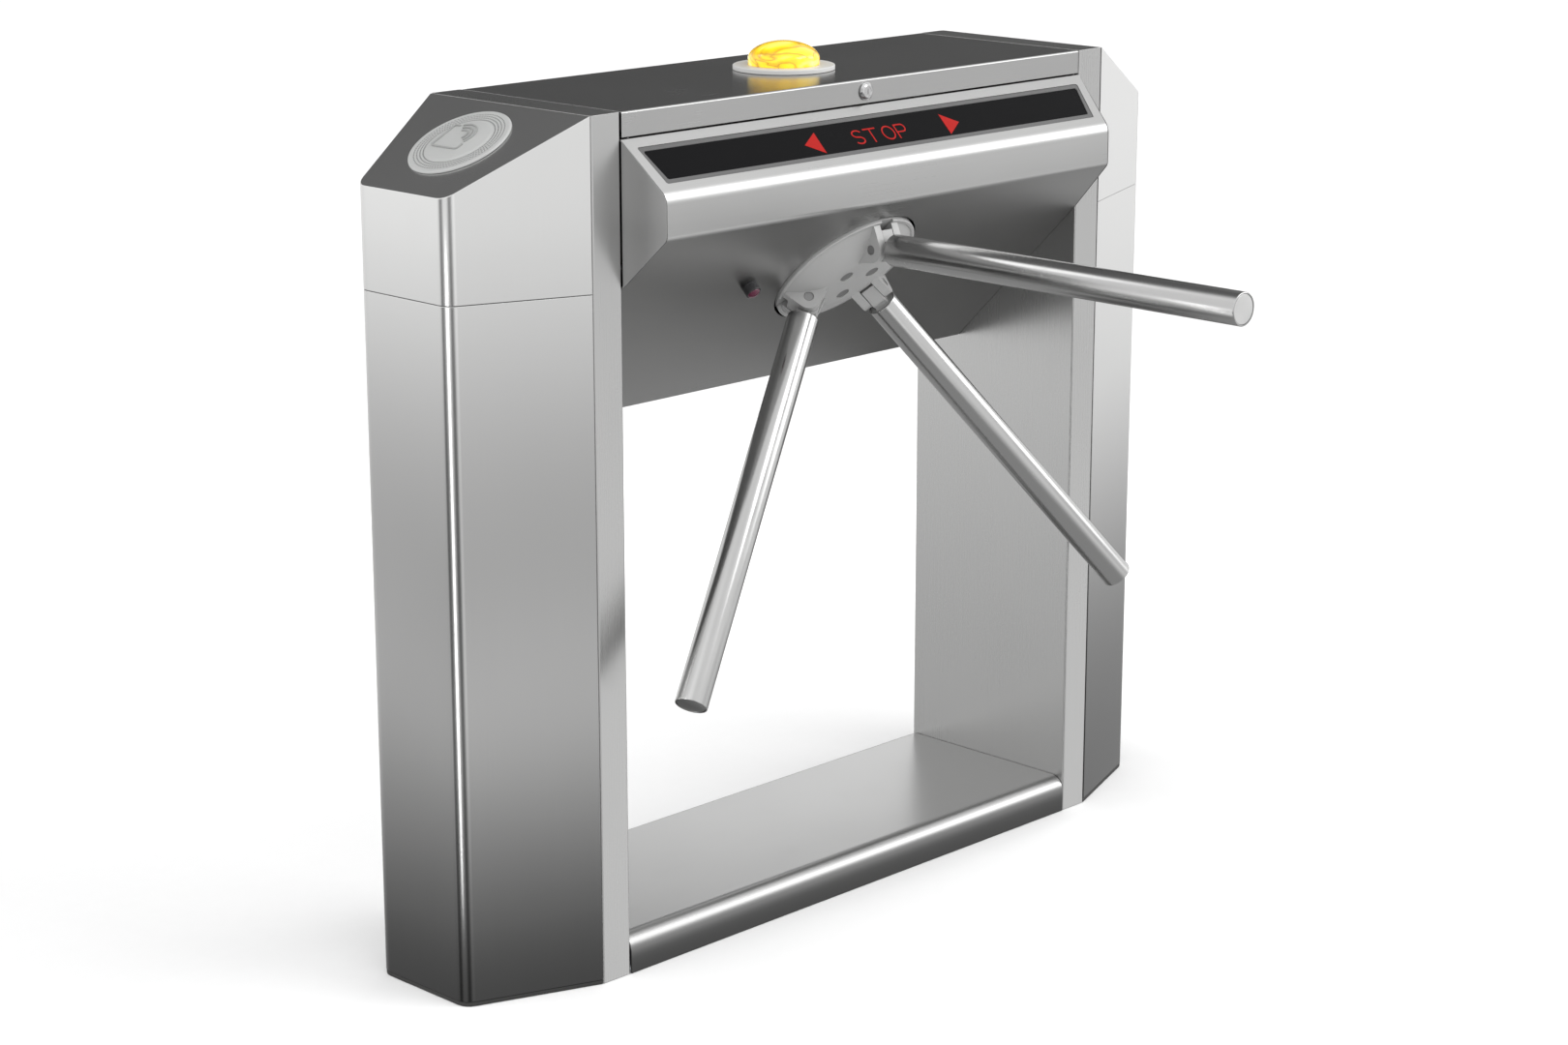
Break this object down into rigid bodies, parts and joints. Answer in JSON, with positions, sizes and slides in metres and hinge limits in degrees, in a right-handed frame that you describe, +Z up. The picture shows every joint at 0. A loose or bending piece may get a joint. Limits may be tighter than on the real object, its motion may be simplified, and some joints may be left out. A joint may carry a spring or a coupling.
{
  "type": "tripod turnstile",
  "caption": "Waist-high stainless tripod turnstile: two tapered columns joined by a bridge, a tilted rotor with folding tube arms, status display, card readers and an amber beacon.",
  "frame": {"origin": "on the floor, on the underside of the base channel, midway between the columns and midway front to back of the housing", "axes": "+X along the housing towards the right column, -Y towards the lane that the arms block, +Z up"},
  "size_m": [1.236, 0.8671, 1.0855],
  "materials": {
    "brushed_stainless": "fine brushed stainless sheet, satin",
    "polished_stainless": "bright polished stainless tube",
    "cast_aluminium": "light grey cast aluminium, fine blasted",
    "zinc_steel": "zinc-plated mild steel",
    "bearing_steel": "ground hardened steel",
    "black_rubber": "matt black rubber",
    "black_plastic": "matt black moulded plastic",
    "bezel_grey": "dark grey moulded frame",
    "display_black": "smoked black acrylic",
    "reader_grey": "light grey satin plastic",
    "beacon_white": "off-white plastic",
    "amber": "clear amber polycarbonate, lit",
    "magenta_lens": "dark magenta infrared lens",
    "circuit_green": "green solder resist"
  },
  "bodies": {
    "housing": {"pillar_left": "brushed_stainless", "pillar_right": "brushed_stainless", "column_shell_left": "brushed_stainless", "column_shell_right": "brushed_stainless", "column_cap_left": "brushed_stainless", "column_cap_right": "brushed_stainless", "column_foot_left": "black_rubber", "column_foot_right": "black_rubber", "anchor_plate_left": "zinc_steel", "anchor_plate_right": "zinc_steel", "sill_tread": "brushed_stainless", "base_channel": "zinc_steel", "bridge_tray": "brushed_stainless", "front_cover": "brushed_stainless", "display_bezel": "bezel_grey", "display_window": "display_black", "display_board": "circuit_green", "reader_body_left": "reader_grey", "reader_cover_left": "reader_grey", "reader_body_right": "reader_grey", "reader_cover_right": "reader_grey", "sensor_body": "black_plastic", "sensor_lens": "magenta_lens", "chassis_plate": "zinc_steel", "bearing_housing": "cast_aluminium", "bearing_front": "bearing_steel", "bearing_rear": "bearing_steel", "solenoid_left": "black_plastic", "solenoid_right": "black_plastic", "control_board": "circuit_green", "power_supply": "zinc_steel", "hinge_leaf_fixed": "zinc_steel"},
    "lid": {"lid_panel": "brushed_stainless", "hinge_leaf_lid": "zinc_steel", "hinge_pin": "bearing_steel", "beacon_base": "beacon_white", "beacon_dome": "amber", "beacon_lamp": "beacon_white"},
    "lid_lock": {"lock_barrel": "polished_stainless", "lock_cam": "zinc_steel"},
    "rotor": {"hub_plate": "cast_aluminium", "rotor_shaft": "zinc_steel", "index_cam": "zinc_steel", "encoder_disc": "black_plastic", "arm_pin_1": "bearing_steel", "arm_pin_2": "bearing_steel", "arm_pin_3": "bearing_steel"},
    "arm_1": {"arm_tube_1": "polished_stainless", "arm_cap_1": "brushed_stainless", "arm_tongue_1": "cast_aluminium"},
    "arm_2": {"arm_tube_2": "polished_stainless", "arm_cap_2": "brushed_stainless", "arm_tongue_2": "cast_aluminium"},
    "arm_3": {"arm_tube_3": "polished_stainless", "arm_cap_3": "brushed_stainless", "arm_tongue_3": "cast_aluminium"},
    "lock_bolt_left": {"lock_bolt_left": "bearing_steel"},
    "lock_bolt_right": {"lock_bolt_right": "bearing_steel"},
    "centering_arm": {"centering_arm": "zinc_steel"}
  },
  "joints": [
    {"name": "rotor_turn", "type": "hinge", "parent": "housing", "child": "rotor", "pos_m": [0, -0.07424, 0.84501], "axis": [0, -0.7071, -0.7071], "continuous": true},
    {"name": "arm_drop_1", "type": "hinge", "parent": "rotor", "child": "arm_1", "pos_m": [0, -0.1697, 0.84501], "axis": [1, 0, 0], "range_deg": [0, 90]},
    {"name": "arm_drop_2", "type": "hinge", "parent": "rotor", "child": "arm_2", "pos_m": [-0.05846, -0.0981, 0.77342], "axis": [-0.5, -0.6124, 0.6124], "range_deg": [0, 45]},
    {"name": "arm_drop_3", "type": "hinge", "parent": "rotor", "child": "arm_3", "pos_m": [0.05846, -0.0981, 0.77342], "axis": [-0.5, 0.6124, -0.6124], "range_deg": [0, 45]},
    {"name": "lid_open", "type": "hinge", "parent": "housing", "child": "lid", "pos_m": [0, 0.1437, 1.0395], "axis": [-1, 0, 0], "range_deg": [0, 100]},
    {"name": "lid_lock_turn", "type": "hinge", "parent": "lid", "child": "lid_lock", "pos_m": [0, -0.14, 1.035], "axis": [0, -1, 0], "range_deg": [0, 90]},
    {"name": "lock_bolt_left_slide", "type": "slide", "parent": "housing", "child": "lock_bolt_left", "axis": [1, 0, 0], "range_m": [0, 0.009], "stiffness_N_per_m": 200},
    {"name": "lock_bolt_right_slide", "type": "slide", "parent": "housing", "child": "lock_bolt_right", "axis": [-1, 0, 0], "range_m": [0, 0.009], "stiffness_N_per_m": 200},
    {"name": "centering_swing", "type": "hinge", "parent": "housing", "child": "centering_arm", "pos_m": [-0.075, -0.12374, 0.89451], "axis": [0, -0.7071, -0.7071], "range_deg": [0, 10], "stiffness_Nm_per_rad": 1.5}
  ]
}
